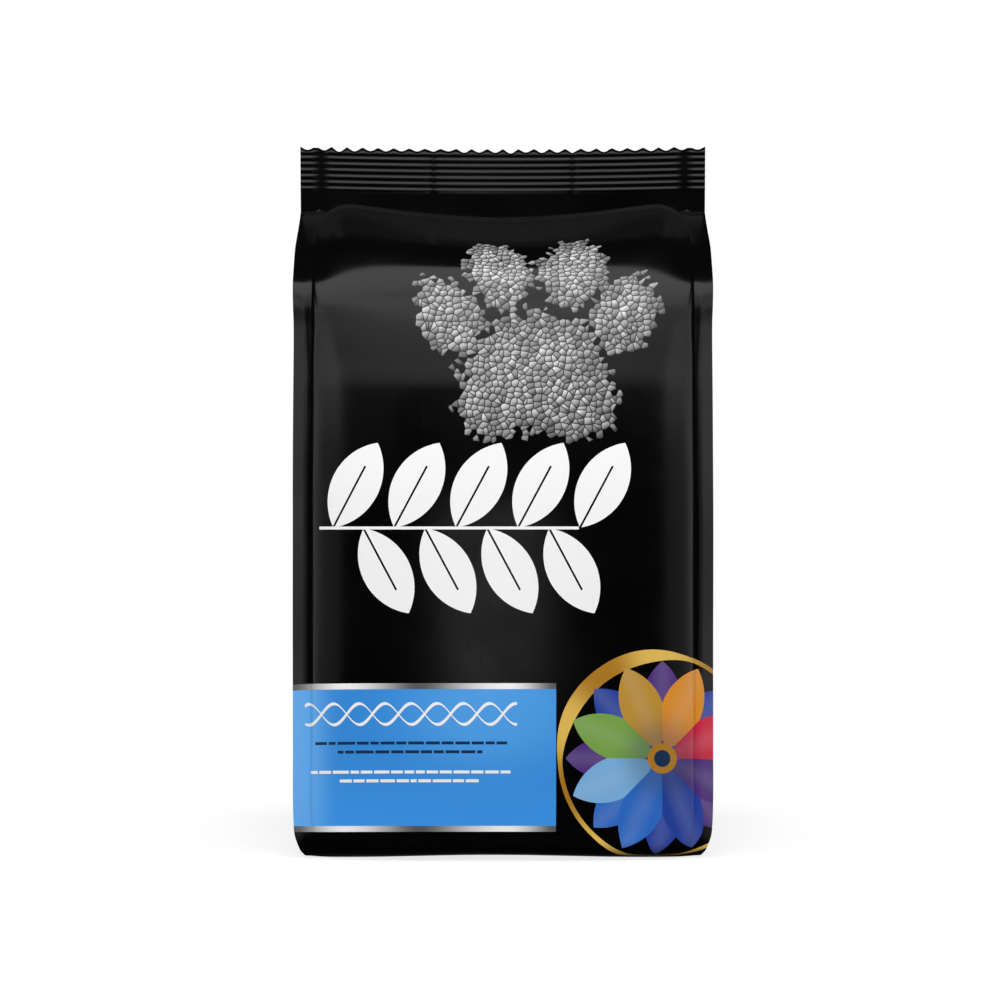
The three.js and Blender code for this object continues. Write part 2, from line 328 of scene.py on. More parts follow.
def film_heights(rows):
    """How far up the film each level lies, measured along the corner of the bag."""
    heights = [0.0]
    for below, above in zip(rows, rows[1:]):
        heights.append(heights[-1] + math.hypot(above.height - below.height, above.depth - below.depth))
    anchor = min(range(len(rows)), key=lambda index: abs(rows[index].height - FILM_ANCHOR))
    shift = rows[anchor].height - heights[anchor]
    return [height + shift for height in heights]


def film_columns(sizes):
    """Places across the flat film, with three close together at each fin root and gusset fold."""
    half = sizes.flat_width / 2
    count = sizes.tooth_count * COLUMNS_PER_TOOTH
    columns = [sizes.flat_width * step / count - half for step in range(count + 1)]
    for line in (half - sizes.fin_width, half - sizes.fin_width - sizes.gusset_half):
        for place in (-line, line):
            nearest = min(range(count), key=lambda index: abs(columns[index] - place))
            for step in (-1, 0, 1):
                columns[nearest + step] = place + step * LINE_HALF
    return columns


def crease_drop(sizes, x):
    """How far the crease under the seal lies below its highest level, at a place across the bag."""
    places, drops = zip(*CREASE_LINE)
    return sizes.crease_sag / drops[0] * curve(places, drops, abs(x))


def pucker(height, x):
    """How far the film is pushed up next to the ends of the crease."""
    near = bell(height - CREASE.height, PUCKER_REACH)
    return near * sum(rise * bell(abs(x) - place, half) for place, rise, half in PUCKERS)


def drop_at(sizes, height, x):
    """How far the film at this level hangs down at a place across the bag."""
    foot = sizes.bag_height - sizes.seal_height
    seal = SEAL_SAG * (1 - min(abs(x) / CREASE.width, 1) ** 2)
    if height < CREASE.height:
        return crease_drop(sizes, x) * smoothstep(height, SHOULDER.height, CREASE.height) - pucker(height, x)
    share = smoothstep(height, CREASE.height, foot)
    return crease_drop(sizes, x) * (1 - share) + seal * share - pucker(height, x)


def tooth_cut(sizes, across):
    """How far the cut edge lies below the tips of its teeth."""
    pitch = sizes.flat_width / sizes.tooth_count
    uneven = 1 + TOOTH_UNEVEN * noise.noise(Vector((across / pitch * TOOTH_CHANGE, TOOTH_SEED, 0)))
    wave = abs(math.sin(math.pi * (across + sizes.flat_width / 2) / pitch))
    return sizes.tooth_depth * uneven * (wave + wave * wave) / 2


def heel_lift(x, height):
    """A slight unevenness of the folded edge round the base."""
    wave = HEEL_LIFT * (0.5 + 0.5 * math.cos(2 * math.pi * (x - HEEL_LIFT_START) / HEEL_LIFT_LENGTH))
    corner = CORNER_LIFT * smoothstep(abs(x), CORNER_LIFT_START, CORNER_LIFT_END)
    return (wave + corner) * (1 - smoothstep(height, 0, HEEL_TOP))


def looseness(height, low, high):
    """0 at the base, 1 from a height above it to the shoulder, and 0 again at the crease."""
    return smoothstep(height, low, high) * (1 - smoothstep(height, SHOULDER.height, CREASE.height))


def dent(across, height, side):
    """Soft dents of the film between its folds."""
    spot = Vector((across, height * DENT_STRETCH, side * DENT_SEED)) / DENT_LENGTH
    return DENT_DEPTH * noise.noise(spot) * looseness(height, LOOSE_LOW, LOOSE_HIGH)


def fin_lean(row, side, end):
    """The tilt of one fin at a level, with its slight wave, in radians."""
    wave = noise.noise(Vector((row.height / FIN_WAVE_LENGTH, side * FIN_SIDE_SEED, end * FIN_END_SEED)))
    wave *= looseness(row.height, LOOSE_LOW, LOOSE_HIGH)
    return math.radians(row.lean + FIN_WAVE_DEGREES * wave)


def seal_relief(sizes, row, across):
    """Middle and half thickness of the pressed film: crimp ribs, and the fold lines and fin edges in them."""
    foot = sizes.bag_height - sizes.seal_height
    root = sizes.flat_width / 2 - sizes.fin_width
    fold = root - sizes.gusset_half
    from_root, from_fold = abs(across) - root, abs(across) - fold
    pressed = smoothstep(row.height, foot - sizes.rib_pitch / 3, foot)
    full = RIB_FADE_PANEL if from_root < 0 else RIB_FADE_FIN
    fade = smoothstep(abs(from_root), RIB_GAP, full) * (1 - bell(from_fold, FOLD_BREAK))
    phase = 2 * math.pi * (row.height - foot) / sizes.rib_pitch
    middle = -sizes.rib_depth * math.cos(phase) * pressed * fade
    middle -= BAND_FORWARD * min((row.height - CREASE.height) / (foot - CREASE.height), 1)
    middle -= SEAL_FORWARD * max((row.height - foot) / sizes.seal_height, 0)
    step = FOLD_STEP * smoothstep(from_fold, -LINE_HALF, LINE_HALF) - FOLD_GROOVE * bell(from_fold, LINE_HALF)
    return middle, SEAL_HALF + step * pressed


def panel_point(sizes, row, across, end):
    """A point of the front (end -1) or back (end 1) panel and its fins."""
    root = sizes.flat_width / 2 - sizes.fin_width
    side = math.copysign(1, across)
    share = min(abs(across) / root, 1)
    reach = max(abs(across) - root, 0) / sizes.fin_width * row.fin
    lean = fin_lean(row, side, end)
    x = side * (share * row.width + reach * math.cos(lean))
    y = row.depth + row.crown * (1 - share ** CROWN_POWER) - reach * math.sin(lean)
    if row.height >= CREASE.height:
        middle, half = seal_relief(sizes, row, across)
        y = half + end * middle
    else:
        y -= root_fold(abs(across) - root, row.height) * smoothstep(row.height, FOLD_LOW, FOLD_HIGH)
        y += dent(across, row.height, end) * (1 - share ** CROWN_POWER)
    top = smoothstep(row.height, sizes.bag_height - 2 * sizes.tooth_depth, sizes.bag_height)
    z = row.height - drop_at(sizes, row.height, x) - tooth_cut(sizes, across) * top
    return Vector((x, end * y, z + heel_lift(x, row.height)))


def gusset_point(sizes, row, along, side):
    """A point of a side gusset and the inner faces of its fins, from the front (negative) to the back."""
    end = -1 if along <= 0 else 1
    root = sizes.flat_width / 2 - sizes.fin_width
    if row.height > CREASE.height:
        return panel_point(sizes, row, side * sizes.flat_width / 2, end)
    past = max(abs(along) - sizes.gusset_half, 0)
    outer = panel_point(sizes, row, side * (root + past), end)
    thin = FIN_THICKNESS * smoothstep(row.height, 0, LEVELS[1].height)
    if past > 0:
        outer.y -= end * thin * (1 - (past / sizes.fin_width) ** FIN_EDGE_POWER)
        return outer
    share = along / sizes.gusset_half
    shape = 1 - share ** 2 if row.swell > 0 else 1 - abs(share)
    fold = CENTRE_CREASE * bell(share, CENTRE_CREASE_SHARE) * looseness(row.height, 0, LEVELS[2].height)
    dents = GUSSET_DENTS * dent(along, row.height, side * GUSSET_SEED) * (1 - abs(share) ** CROWN_POWER)
    x = row.width + row.swell * shape - fold + dents
    y = share * (abs(outer.y) - thin) if row.height > 0 else share * row.depth
    z = row.height - drop_at(sizes, row.height, x)
    return Vector((side * x, y, z + heel_lift(side * x, row.height)))


def base_point(sizes, across, along):
    """A point of the folded base, with the flaps' edges as small steps."""
    foot = LEVELS[0]
    x = across / (sizes.flat_width / 2 - sizes.fin_width) * foot.width
    y = along / sizes.gusset_half * foot.depth
    inside = min(foot.width - abs(x), foot.depth - abs(y))
    corner = smoothstep(foot.depth - abs(y) - foot.width + abs(x), -LINE_HALF, LINE_HALF)
    flap = smoothstep(abs(y), FLAP_OVERLAP, FLAP_OVERLAP + 2 * LINE_HALF)
    rise = FLAP_STEP * (flap + corner) * smoothstep(inside, 0, FLAP_MARGIN)
    return Vector((x, y, heel_lift(x, 0) * (1 - smoothstep(inside, 0, HEEL_TOP)) + rise))


# Where each panel lies on the sheet that its finish is baked to: left, low, and size of a film metre
Patch = namedtuple("Patch", "left low scale")
PATCHES = {
    "front": Patch(0.01, 0.01, 2.28),
    "back": Patch(0.56, 0.51, 1.12),
    "right": Patch(0.56, 0.01, 1.12),
    "left": Patch(0.77, 0.01, 1.12),
    "base": Patch(0.83, 0.51, 0.6),
}
PRINTED, PLAIN = 0, 1  # the bag's material slots


def film_panel(bm, patch, columns, rows, heights, place, material):
    """A grid of film over columns and rows, put in place and mapped flat."""
    film = bm.loops.layers.uv["film"]
    sheet = bm.loops.layers.uv["OFBake"]
    made = bmesh.ops.create_grid(bm, x_segments=len(columns) - 1, y_segments=len(rows) - 1, size=1.0)
    spots = {}
    for vertex in made["verts"]:
        column = round((vertex.co.x + 1) / 2 * (len(columns) - 1))
        row = round((vertex.co.y + 1) / 2 * (len(rows) - 1))
        vertex.co = place(columns[column], rows[row])
        spots[vertex] = Vector((columns[column], heights[row]))
    corner = Vector((min(columns), heights[0]))
    for face in {face for vertex in made["verts"] for face in vertex.link_faces}:
        face.material_index = material
        face.smooth = True
        for loop in face.loops:
            spot = spots[loop.vert]
            loop[film].uv = spot
            loop[sheet].uv = Vector((patch.left, patch.low)) + (spot - corner) * patch.scale


def film_mesh(sizes):
    """The whole bag as one closed skin."""
    bm = bmesh.new()
    bm.loops.layers.uv.new("film")
    bm.loops.layers.uv.new("OFBake")
    rows = film_rows(sizes)
    heights = film_heights(rows)
    columns = film_columns(sizes)
    root = sizes.flat_width / 2 - sizes.fin_width
    gusset = [sizes.gusset_half * (2 * step / GUSSET_COLUMNS - 1) for step in range(GUSSET_COLUMNS + 1)]
    fin = [place - root for place in columns if place > root + LINE_HALF / 2]
    gusset = [-sizes.gusset_half - past for past in reversed(fin)] + gusset
    gusset += [sizes.gusset_half + past for past in fin]
    upright = (
        ("front", columns, lambda across, row: panel_point(sizes, row, across, -1), PRINTED),
        ("back", columns, lambda across, row: panel_point(sizes, row, -across, 1), PLAIN),
        ("right", gusset, lambda along, row: gusset_point(sizes, row, along, 1), PLAIN),
        ("left", gusset, lambda along, row: gusset_point(sizes, row, -along, -1), PLAIN),
    )
    for name, places, place, material in upright:
        film_panel(bm, PATCHES[name], places, rows, heights, place, material)
    across = [place for place in columns if abs(place) < root + LINE_HALF / 2]
    along = [place for place in gusset if abs(place) < sizes.gusset_half + LINE_HALF / 2]
    film_panel(bm, PATCHES["base"], across, along[::-1], along,
               lambda place, depth: base_point(sizes, place, depth), PLAIN)
    bmesh.ops.remove_doubles(bm, verts=bm.verts, dist=WELD)
    close_cut_edge(bm, sizes)
    bmesh.ops.recalc_face_normals(bm, faces=bm.faces)
    for edge in bm.edges:
        edge.smooth = edge.calc_face_angle(math.pi) < SHARP_ANGLE
    return bm


def close_cut_edge(bm, sizes):
    """Joins the front and back films along the zig-zag cut."""
    open_edges = [edge for edge in bm.edges if edge.is_boundary]
    top = [edge for edge in open_edges if edge.verts[0].co.z > sizes.bag_height - sizes.seal_height]
    if len(top) != len(open_edges):
        raise RuntimeError(f"{len(open_edges) - len(top)} open edges are left below the seal")
    along = [edge for edge in top if abs(edge.verts[0].co.x - edge.verts[1].co.x) > LINE_HALF / 4]
    bmesh.ops.bridge_loops(bm, edges=along)


# Node helpers

class Desk:
    """Adds and joins the nodes of one tree."""

    COLUMN, ROW, PER_ROW = 190, 230, 14
    MIX_UNDER, MIX_OVER, MIX_RESULT = 6, 7, 2  # the mix node's sockets for colours

    def __init__(self, tree):
        self.tree = tree
        self.count = 0

    def add(self, kind, **settings):
        node = self.tree.nodes.new(kind)
        node.location = (self.count % self.PER_ROW * self.COLUMN, -(self.count // self.PER_ROW) * self.ROW)
        self.count += 1
        for name, value in settings.items():
            setattr(node, name, value)
        return node

    def feed(self, socket, source):
        if isinstance(source, bpy.types.NodeSocket):
            self.tree.links.new(source, socket)
        else:
            socket.default_value = source

    def maths(self, operation, *sources):
        node = self.add("ShaderNodeMath", operation=operation)
        for socket, source in zip(node.inputs, sources):
            self.feed(socket, source)
        return node.outputs[0]

    def vector(self, operation, *sources, output=0):
        node = self.add("ShaderNodeVectorMath", operation=operation)
        for socket, source in zip(node.inputs, sources):
            self.feed(socket, source)
        return node.outputs[output]

    def point(self, x, y):
        node = self.add("ShaderNodeCombineXYZ")
        self.feed(node.inputs[0], x)
        self.feed(node.inputs[1], y)
        return node.outputs[0]

    def parts(self, vector):
        node = self.add("ShaderNodeSeparateXYZ")
        self.feed(node.inputs[0], vector)
        return node.outputs[0], node.outputs[1]

    def ramp(self, value, low, high, start=0.0, end=1.0):
        node = self.add("ShaderNodeMapRange", interpolation_type="SMOOTHSTEP")
        for socket, source in zip(node.inputs, (value, low, high, start, end)):
            self.feed(socket, source)
        return node.outputs[0]

    def within(self, value, low, high):
        return self.every(self.maths("GREATER_THAN", value, low), self.maths("LESS_THAN", value, high))

    def every(self, first, *masks):
        for mask in masks:
            first = self.maths("MULTIPLY", first, mask)
        return first

    def mix(self, mask, under, over):
        node = self.add("ShaderNodeMix", data_type="RGBA", clamp_factor=True)
        self.feed(node.inputs[0], mask)
        for socket, source in ((self.MIX_UNDER, under), (self.MIX_OVER, over)):
            plain = source if isinstance(source, bpy.types.NodeSocket) else (*source, 1.0)
            self.feed(node.inputs[socket], plain)
        return node.outputs[self.MIX_RESULT]

    def mottle(self, place, scale, detail):
        node = self.add("ShaderNodeTexNoise")
        for name, source in (("Vector", place), ("Scale", scale), ("Detail", detail)):
            self.feed(node.inputs[name], source)
        return node.outputs[0]

    def steps(self, value, colours, interpolation="CONSTANT", places=None):
        node = self.add("ShaderNodeValToRGB")
        node.color_ramp.interpolation = interpolation
        places = places or [index / len(colours) for index in range(len(colours))]
        stops = node.color_ramp.elements
        while len(stops) < len(colours):
            stops.new(1.0)
        for stop, place, colour in zip(stops, places, colours):
            stop.position = place
            stop.color = (*colour, 1.0)
        self.feed(node.inputs[0], value)
        return node.outputs[0]

    def use(self, group, **sources):
        node = self.add("ShaderNodeGroup", node_tree=group)
        for name, source in sources.items():
            self.feed(node.inputs[name.replace("_", " ")], source)
        return node


def new_group(name, inputs, outputs):
    """A shader node group with named sockets, and the desk to fill it with."""
    tree = bpy.data.node_groups.new(name, "ShaderNodeTree")
    for socket, kind in inputs.items():
        tree.interface.new_socket(socket, in_out="INPUT", socket_type=kind)
    for socket, kind in outputs.items():
        tree.interface.new_socket(socket, in_out="OUTPUT", socket_type=kind)
    desk = Desk(tree)
    return tree, desk, desk.add("NodeGroupInput").outputs, desk.add("NodeGroupOutput").inputs


FLOAT, COLOUR, VECTOR = "NodeSocketFloat", "NodeSocketColor", "NodeSocketVector"


def leaf_group():
    """A pointed leaf standing on its own middle: its mask, and the distance from its midrib."""
    tree, desk, given, result = new_group(
        "Leaf outline", {"Across": FLOAT, "Along": FLOAT, "Half Width": FLOAT, "Half Length": FLOAT},
        {"Mask": FLOAT, "Off Rib": FLOAT})
    width, length = given["Half Width"], given["Half Length"]
    squares = desk.maths("ADD", desk.maths("MULTIPLY", width, width), desk.maths("MULTIPLY", length, length))
    radius = desk.maths("DIVIDE", squares, desk.maths("MULTIPLY", width, 2.0))
    off_rib = desk.maths("ABSOLUTE", given["Across"])
    shifted = desk.maths("ADD", off_rib, desk.maths("SUBTRACT", radius, width))
    reach = desk.vector("LENGTH", desk.point(shifted, given["Along"]), output=1)
    desk.feed(result["Mask"], desk.maths("LESS_THAN", reach, radius))
    desk.feed(result["Off Rib"], off_rib)
    return tree


def oval_group():
    """How far a point is from the rim of a turned oval, in shares of its radii: negative inside."""
    tree, desk, given, result = new_group(
        "Oval field", {"Point": VECTOR, "Middle": VECTOR, "Radii": VECTOR, "Turn": FLOAT}, {"Field": FLOAT})
    turn = desk.add("ShaderNodeVectorRotate", rotation_type="Z_AXIS")
    desk.feed(turn.inputs["Vector"], desk.vector("SUBTRACT", given["Point"], given["Middle"]))
    desk.feed(turn.inputs["Angle"], given["Turn"])
    scaled = desk.vector("DIVIDE", turn.outputs[0], given["Radii"])
    desk.feed(result["Field"], desk.maths("SUBTRACT", desk.vector("LENGTH", scaled, output=1), 1.0))
    return tree


def film_surface_group():
    """The finish that all the film shares: faint flow lines, scuffs and fine wrinkles."""
    tree, desk, given, result = new_group(
        "Film surface", {"Shine": FLOAT, "Wrinkle": FLOAT}, {"Roughness": FLOAT, "Height": FLOAT})
    place = desk.add("ShaderNodeTexCoord").outputs["Object"]
    broad = desk.mottle(place, *BROAD_NOISE)
    fine = desk.mottle(place, *FINE_NOISE)
    scuff = desk.mottle(desk.vector("MULTIPLY", place, SCUFF_STRETCH), *SCUFF_NOISE)
    worn = desk.ramp(scuff, *SCUFF_RANGE, 0.0, FILM_WORN)
    uneven = desk.ramp(broad, *BROAD_RANGE, -FILM_UNEVEN, FILM_UNEVEN)
    desk.feed(result["Roughness"], desk.maths("ADD", given["Shine"], desk.maths("ADD", worn, uneven)))
    low = desk.maths("MULTIPLY", broad, given["Wrinkle"])
    high = desk.maths("MULTIPLY", fine, FILM_GRAIN)
    desk.feed(result["Height"], desk.maths("ADD", low, high))
    return tree


# The print, each field as a mask and a colour over the film's own flat coordinates

def granule_paw(desk, film, oval, inks, under):
    """A paw print heaped from clay granules, thinning out into single grains round it."""
    cells = desk.add("ShaderNodeTexVoronoi", voronoi_dimensions="2D", feature="F1")
    rims = desk.add("ShaderNodeTexVoronoi", voronoi_dimensions="2D", feature="DISTANCE_TO_EDGE")
    for node in (cells, rims):
        desk.feed(node.inputs["Vector"], film)
        node.inputs["Scale"].default_value = GRANULES_PER_METRE
    spot = cells.outputs["Position"]
    fields = []
    for x, y, half_width, half_height, turn in PAW_PADS + PAW_TOES:
        node = desk.use(oval, Point=spot, Middle=(x, y, 0), Radii=(half_width, half_height, 1),
                        Turn=math.radians(-turn))
        fields.append(node.outputs[0])
    nearest = fields[0]
    for field in fields[1:]:
        nearest = desk.maths("MINIMUM", nearest, field)
    chance, tone = desk.parts(cells.outputs["Color"])
    keep = desk.maths("GREATER_THAN", chance, desk.ramp(nearest, *PAW_THINS))
    offset = desk.vector("SUBTRACT", film, spot)
    lit = desk.vector("DOT_PRODUCT", offset, GRANULE_LIGHT, output=1)
    light = desk.maths("ADD", desk.maths("MULTIPLY", lit, GRANULES_PER_METRE), 0.5)
    shade = desk.every(desk.ramp(light, *GRANULE_LIT, GRANULE_DARK), desk.ramp(tone, 0.0, 1.0, GRANULE_DULL))
    apart = desk.ramp(rims.outputs["Distance"], 0.0, GRANULE_GAP)
    far = desk.ramp(nearest, *PAW_DIMS, 1.0, GRANULE_FAR)
    grey = desk.mix(desk.every(shade, apart, far), inks.film, inks.granule)
    return desk.mix(keep, under, grey)


def vine(desk, u, v, leaf, inks, under):
    """A straight stem with bold leaves over and under it."""
    above = desk.maths("SUBTRACT", v, STEM_HEIGHT)
    stem = desk.every(desk.maths("LESS_THAN", desk.maths("ABSOLUTE", above), STEM_HALF),
                      desk.within(u, STEM_LEFT, STEM_RIGHT))
    colour = desk.mix(stem, under, inks.white)
    for way, (left, count) in ((1.0, UPPER_LEAVES), (-1.0, LOWER_LEAVES)):
        place = desk.maths("DIVIDE", desk.maths("SUBTRACT", u, left), LEAF_PITCH)
        index = desk.maths("FLOOR", place)
        across = desk.maths("MULTIPLY", desk.maths("SUBTRACT", desk.maths("FRACT", place), 0.5), LEAF_PITCH)
        along = desk.maths("SUBTRACT", desk.maths("MULTIPLY", above, way), LEAF_RISE)
        turned = desk.maths("SUBTRACT", desk.maths("MULTIPLY", across, math.cos(LEAF_TILT)),
                            desk.maths("MULTIPLY", along, math.sin(LEAF_TILT)))
        length = desk.maths("ADD", desk.maths("MULTIPLY", along, math.cos(LEAF_TILT)),
                            desk.maths("MULTIPLY", across, math.sin(LEAF_TILT)))
        shape = desk.use(leaf, Across=turned, Along=length,
                         Half_Width=LEAF_HALF_WIDTH, Half_Length=LEAF_HALF_LENGTH)
        rib = desk.every(desk.maths("LESS_THAN", shape.outputs["Off Rib"], LEAF_RIB),
                         desk.maths("LESS_THAN", length, LEAF_RIB_END))
        mask = desk.every(shape.outputs["Mask"], desk.within(index, -0.5, count - 0.5),
                          desk.maths("SUBTRACT", 1.0, rib))
        colour = desk.mix(mask, colour, inks.white)
    return colour


def lower_panel(desk, u, v, film, oval, inks, under):
    """The blue panel between two silver bands, with a braid and plain lines on it, and its blue painted paler
    by painted light beside the fin, at the foot and partly in the middle.
    """
    inside = desk.every(desk.maths("LESS_THAN", u, PANEL_RIGHT), desk.within(v, PANEL_LOW, PANEL_HIGH))
    pale = desk.use(oval, Point=film, Middle=PALE_HIGHLIGHT_MIDDLE, Radii=PALE_HIGHLIGHT_RADII, Turn=0.0).outputs[0]
    # painted light: the blue is painted paler towards the foot of the panel
    blue = desk.mix(desk.ramp(v, PANEL_LOW, FOOT_LIGHT_TOP), inks.panel_foot_painted_light, inks.panel)
    # a pale oval in the middle of the panel: partly paler ink and partly a painted highlight
    blue = desk.mix(desk.ramp(pale, PALE_HIGHLIGHT_FULL, 0.0, 1.0, 0.0), blue, inks.panel_pale_and_highlight)
    # painted highlight: the blue is painted paler over the left fin and beside it
    blue = desk.mix(desk.ramp(u, EDGE_HIGHLIGHT_START, EDGE_HIGHLIGHT_END, 1.0, 0.0), blue, inks.panel_edge_highlight)
    colour = desk.mix(inside, under, blue)
    for phase in (0.0, math.pi):
        turn = desk.maths("ADD", desk.maths("MULTIPLY", u, 2 * math.pi / BRAID_LENGTH), phase)
        wave = desk.maths("MULTIPLY", desk.maths("SINE", turn), BRAID_RISE)
        gap = desk.maths("ABSOLUTE", desk.maths("SUBTRACT", desk.maths("SUBTRACT", v, BRAID_HEIGHT), wave))
        thick = desk.ramp(desk.maths("COSINE", turn), -1.0, 1.0, BRAID_THIN, BRAID_THICK)
        strand = desk.every(desk.maths("LESS_THAN", gap, thick), desk.within(u, LINES_LEFT, LINES_RIGHT))
        colour = desk.mix(strand, colour, inks.white)
    for heights, shade in ((DARK_LINES, inks.dark), (WHITE_LINES, inks.white)):
        for height, half in heights:
            dashes = desk.add("ShaderNodeTexVoronoi", voronoi_dimensions="1D", feature="DISTANCE_TO_EDGE")
            desk.feed(dashes.inputs["W"], desk.maths("ADD", u, height * DASH_SHIFT))
            dashes.inputs["Scale"].default_value = DASHES_PER_METRE
            line = desk.every(desk.within(v, height - LINE_THICK, height + LINE_THICK),
                              desk.within(u, LINES_MIDDLE - half, LINES_MIDDLE + half),
                              desk.maths("GREATER_THAN", dashes.outputs["Distance"], DASH_GAP))
            colour = desk.mix(line, colour, shade)
    place = desk.maths("DIVIDE", desk.maths("SUBTRACT", u, PANEL_LEFT), PANEL_RIGHT - PANEL_LEFT)
    metals = (inks.steel, inks.silver, inks.steel, inks.silver, inks.steel)
    metal = desk.steps(place, metals, "EASE", METAL_STOPS)
    edge = desk.within(v, PANEL_LOW + SILVER_BAND, PANEL_HIGH - SILVER_BAND)
    band = desk.every(inside, desk.maths("SUBTRACT", 1.0, edge))
    return desk.mix(band, colour, metal)


def rosette(desk, film, leaf, inks, under):
    """A rosette of coloured petals over darker ones, in a thin gold ring."""
    from_middle = desk.vector("SUBTRACT", film, (*ROSETTE_CENTRE, 0))
    x, y = desk.parts(from_middle)
    reach = desk.vector("LENGTH", from_middle, output=1)
    angle = desk.maths("ARCTAN2", y, x)
    turn = desk.maths("COSINE", desk.maths("SUBTRACT", angle, RING_TURN))
    off_ring = desk.maths("ABSOLUTE", desk.maths("SUBTRACT", reach, ROSETTE_RING))
    ring = desk.maths("LESS_THAN", off_ring, desk.ramp(turn, RING_SWELL, 1.0, RING_THIN, RING_THICK))
    gleam = desk.maths("SINE", desk.maths("MULTIPLY", angle, RING_GLEAMS))
    gold = desk.mix(desk.ramp(gleam, -1.0, 1.0), inks.gold, inks.gold_pale)
    colour = desk.mix(ring, under, gold)
    for half_turn, layer in ((0.5, UNDER_PETAL_INKS), (0.0, PETAL_INKS)):
        around = desk.maths("ADD", desk.maths("DIVIDE", angle, PETAL_TURN), half_turn + PETALS)
        local = desk.maths("MULTIPLY", desk.maths("SUBTRACT", desk.maths("FRACT", around), 0.5), PETAL_TURN)
        share = desk.maths("DIVIDE", desk.maths("FLOORED_MODULO", around, PETALS), PETALS)
        across = desk.maths("MULTIPLY", reach, desk.maths("SINE", local))
        outward = desk.maths("MULTIPLY", reach, desk.maths("COSINE", local))
        along = desk.maths("SUBTRACT", outward, PETAL_MIDDLE)
        petal = desk.use(leaf, Across=across, Along=along,
                         Half_Width=PETAL_HALF_WIDTH, Half_Length=PETAL_HALF_LENGTH)
        light = desk.ramp(petal.outputs["Off Rib"], 0.0, PETAL_GLEAM_REACH, PETAL_GLEAM, 0.0)
        tint = desk.mix(light, desk.steps(share, layer), inks.white)
        tint = desk.mix(desk.ramp(reach, HUB, PETAL_MIDDLE, PETAL_SHADE, 0.0), tint, inks.dark)
        colour = desk.mix(petal.outputs["Mask"], colour, tint)
    colour = desk.mix(desk.maths("LESS_THAN", reach, HUB), colour, inks.gold)
    return desk.mix(desk.maths("LESS_THAN", reach, HUB_EYE), colour, inks.dark)


def print_group(inks):
    """All the front's print, from its flat coordinates."""
    tree, desk, given, result = new_group("Front print", {"Film": VECTOR}, {"Colour": COLOUR})
    u, height = desk.parts(given["Film"])
    edge = desk.maths("POWER", desk.maths("ABSOLUTE", desk.maths("DIVIDE", u, BOW_HALF)), CROWN_POWER)
    bow = desk.maths("MULTIPLY", desk.maths("SUBTRACT", BOW_LEVEL, height), BOW_SHARE)
    bow = desk.maths("MULTIPLY", bow, desk.ramp(height, 0.0, BOW_TOP, BOW_FOOT, 1.0))
    v = desk.maths("SUBTRACT", height, desk.maths("MULTIPLY", bow, desk.maths("SUBTRACT", 1.0, edge)))
    film = desk.point(u, v)
    leaf, oval = leaf_group(), oval_group()
    colour = granule_paw(desk, film, oval, inks, inks.film)
    colour = vine(desk, u, v, leaf, inks, colour)
    colour = lower_panel(desk, u, v, film, oval, inks, colour)
    desk.feed(result["Colour"], rosette(desk, film, leaf, inks, colour))
    return tree


def film_material(name, surface, inks, artwork=None):
    """Satin film with the shared finish, plain or printed."""
    material = bpy.data.materials.new(name)
    material.use_nodes = True
    desk = Desk(material.node_tree)
    shader = material.node_tree.nodes["Principled BSDF"]
    finish = desk.use(surface, Shine=FILM_SHINE, Wrinkle=FILM_WRINKLE)
    bump = desk.add("ShaderNodeBump")
    bump.inputs["Strength"].default_value = BUMP_STRENGTH
    bump.inputs["Distance"].default_value = BUMP_DISTANCE
    desk.feed(bump.inputs["Height"], finish.outputs["Height"])
    desk.feed(shader.inputs["Roughness"], finish.outputs["Roughness"])
    desk.feed(shader.inputs["Normal"], bump.outputs[0])
    shader.inputs["Specular IOR Level"].default_value = FILM_GLOSS
    if artwork is None:
        shader.inputs["Base Color"].default_value = (*inks.film, 1.0)
    else:
        place = desk.add("ShaderNodeUVMap", uv_map="film").outputs[0]
        desk.feed(shader.inputs["Base Color"], desk.use(artwork, Film=place).outputs[0])
    return material


class LITTER_OT_make_bag(bpy.types.Operator):
    """Build the filled bag with its print"""

    bl_idname = "litter.make_bag"
    bl_label = "Make Bag"

    def execute(self, context):
        sizes, inks = context.scene.litter_sizes, context.scene.litter_inks
        mesh = bpy.data.meshes.new("litter_bag")
        bm = film_mesh(sizes)
        bm.to_mesh(mesh)
        bm.free()
        surface = film_surface_group()
        mesh.materials.append(film_material("printed_film", surface, inks, print_group(inks)))
        mesh.materials.append(film_material("plain_film", surface, inks))
        bag = bpy.data.objects.new("litter_bag", mesh)
        context.collection.objects.link(bag)
        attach(bag, "root")
        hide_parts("bag")
        return {"FINISHED"}


# The studio

